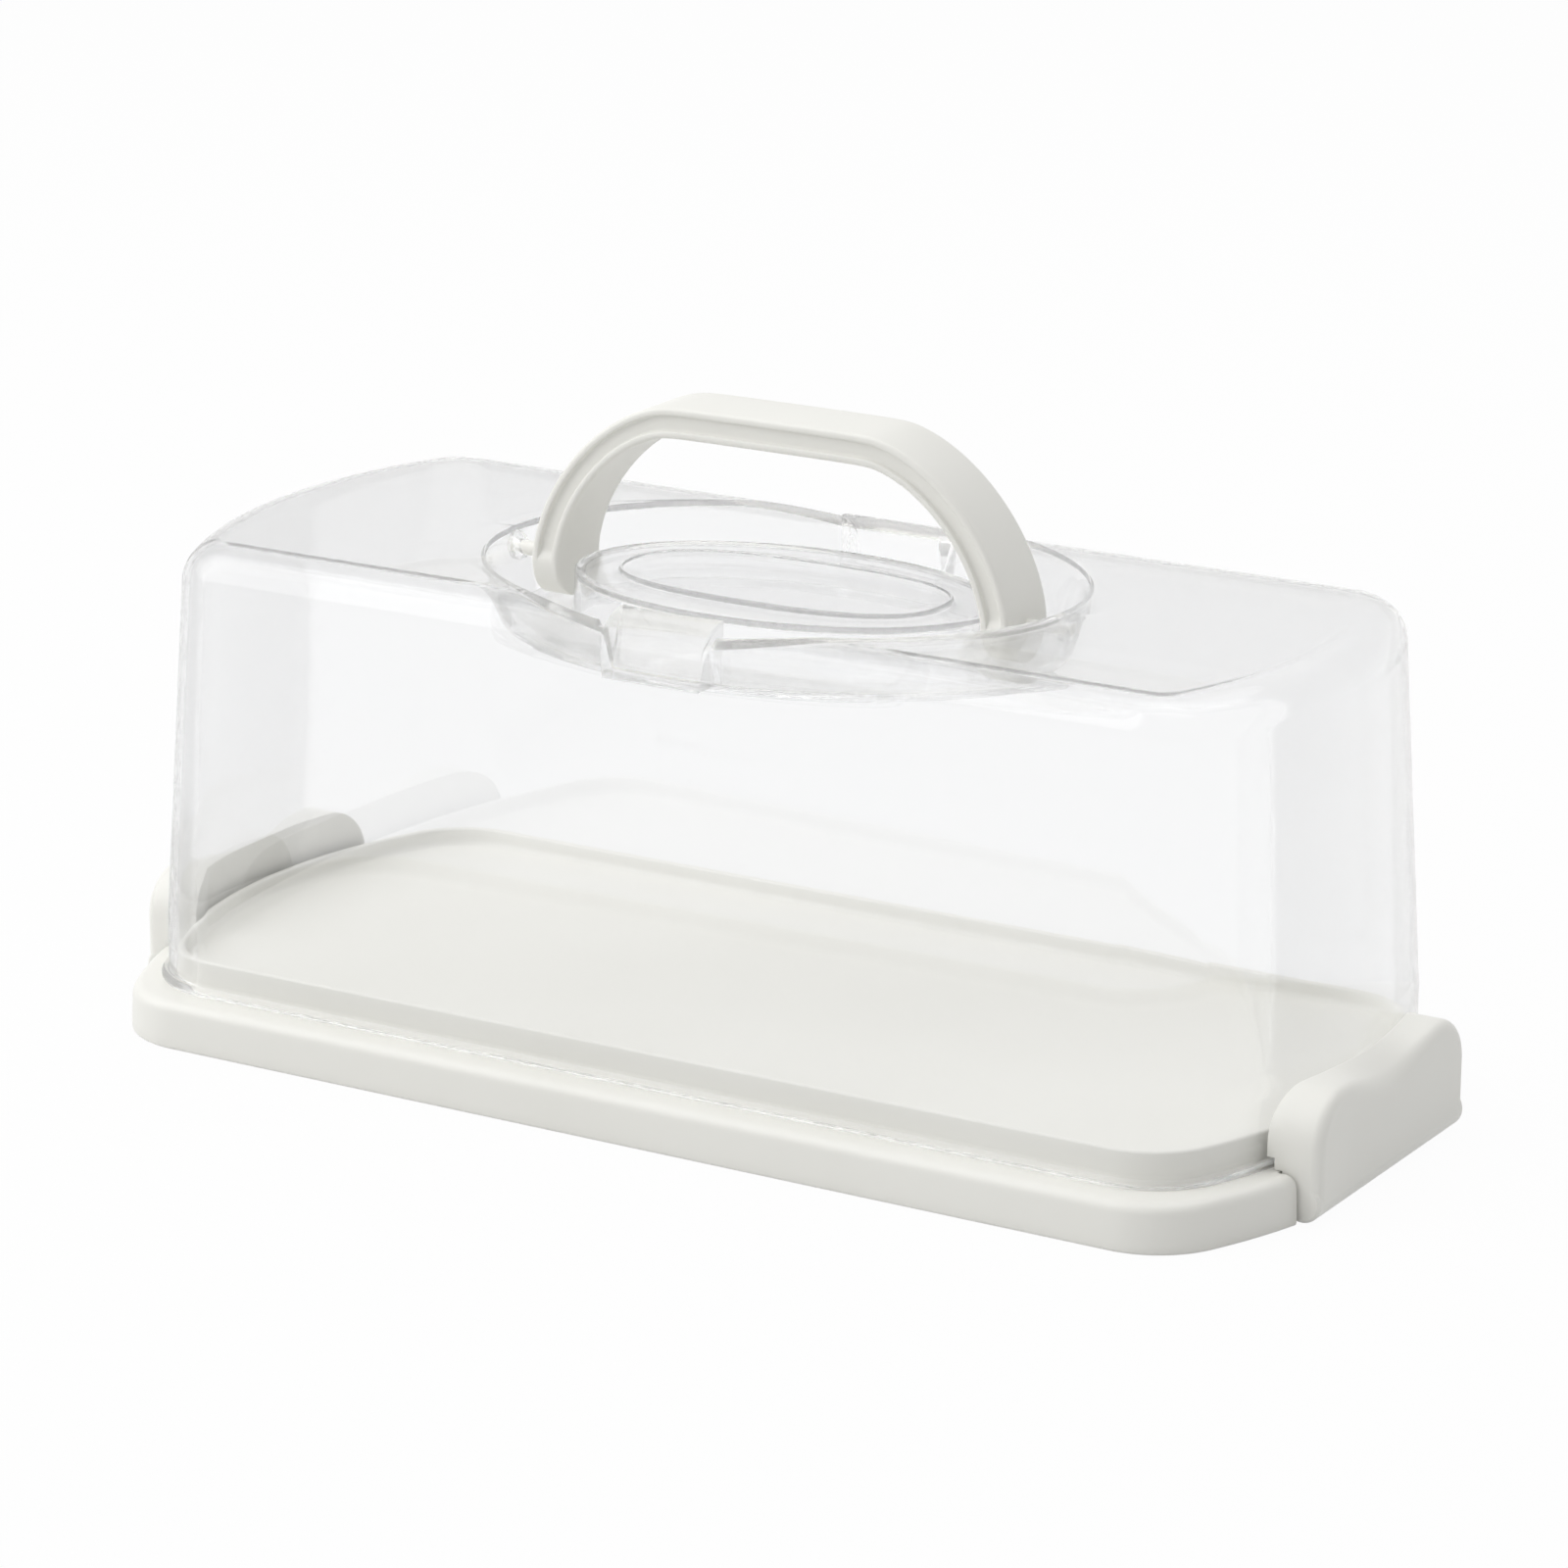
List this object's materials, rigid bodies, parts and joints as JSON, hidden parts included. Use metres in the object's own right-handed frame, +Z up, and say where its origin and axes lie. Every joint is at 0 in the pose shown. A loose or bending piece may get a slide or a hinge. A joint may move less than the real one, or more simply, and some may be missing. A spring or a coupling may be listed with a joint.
{
  "type": "cake carrier",
  "caption": "Long loaf cake carrier: shallow tray with bowed ends, clear cover that lifts off after the hinged end latches open, and an arched handle that folds into an oval recess.",
  "frame": {"origin": "middle of the footprint on the table, under the tray", "axes": "+X along the carrier towards the right latch, +Y across it towards the back, +Z up"},
  "size_m": [0.3592, 0.1656, 0.176],
  "materials": {
    "white_plastic": "satin, warm white",
    "clear_plastic": "clear, polished"
  },
  "bodies": {
    "tray": {"tray": "white_plastic"},
    "cover": {"cover": "clear_plastic"},
    "handle": {"handle": "white_plastic"},
    "latch_left": {"latch_left": "white_plastic"},
    "latch_right": {"latch_right": "white_plastic"}
  },
  "joints": [
    {"name": "cover_lift", "type": "slide", "parent": "tray", "child": "cover", "axis": [0, 0, 1], "range_m": [0, 0.14]},
    {"name": "handle_fold", "type": "hinge", "parent": "cover", "child": "handle", "pos_m": [0, 0, 0.129], "axis": [1, 0, 0], "range_deg": [-90, 90]},
    {"name": "latch_left_swing", "type": "hinge", "parent": "tray", "child": "latch_left", "pos_m": [-0.1743, 0, 0.0058], "axis": [0, -1, 0], "range_deg": [0, 75]},
    {"name": "latch_right_swing", "type": "hinge", "parent": "tray", "child": "latch_right", "pos_m": [0.1743, 0, 0.0058], "axis": [0, 1, 0], "range_deg": [0, 75]}
  ]
}
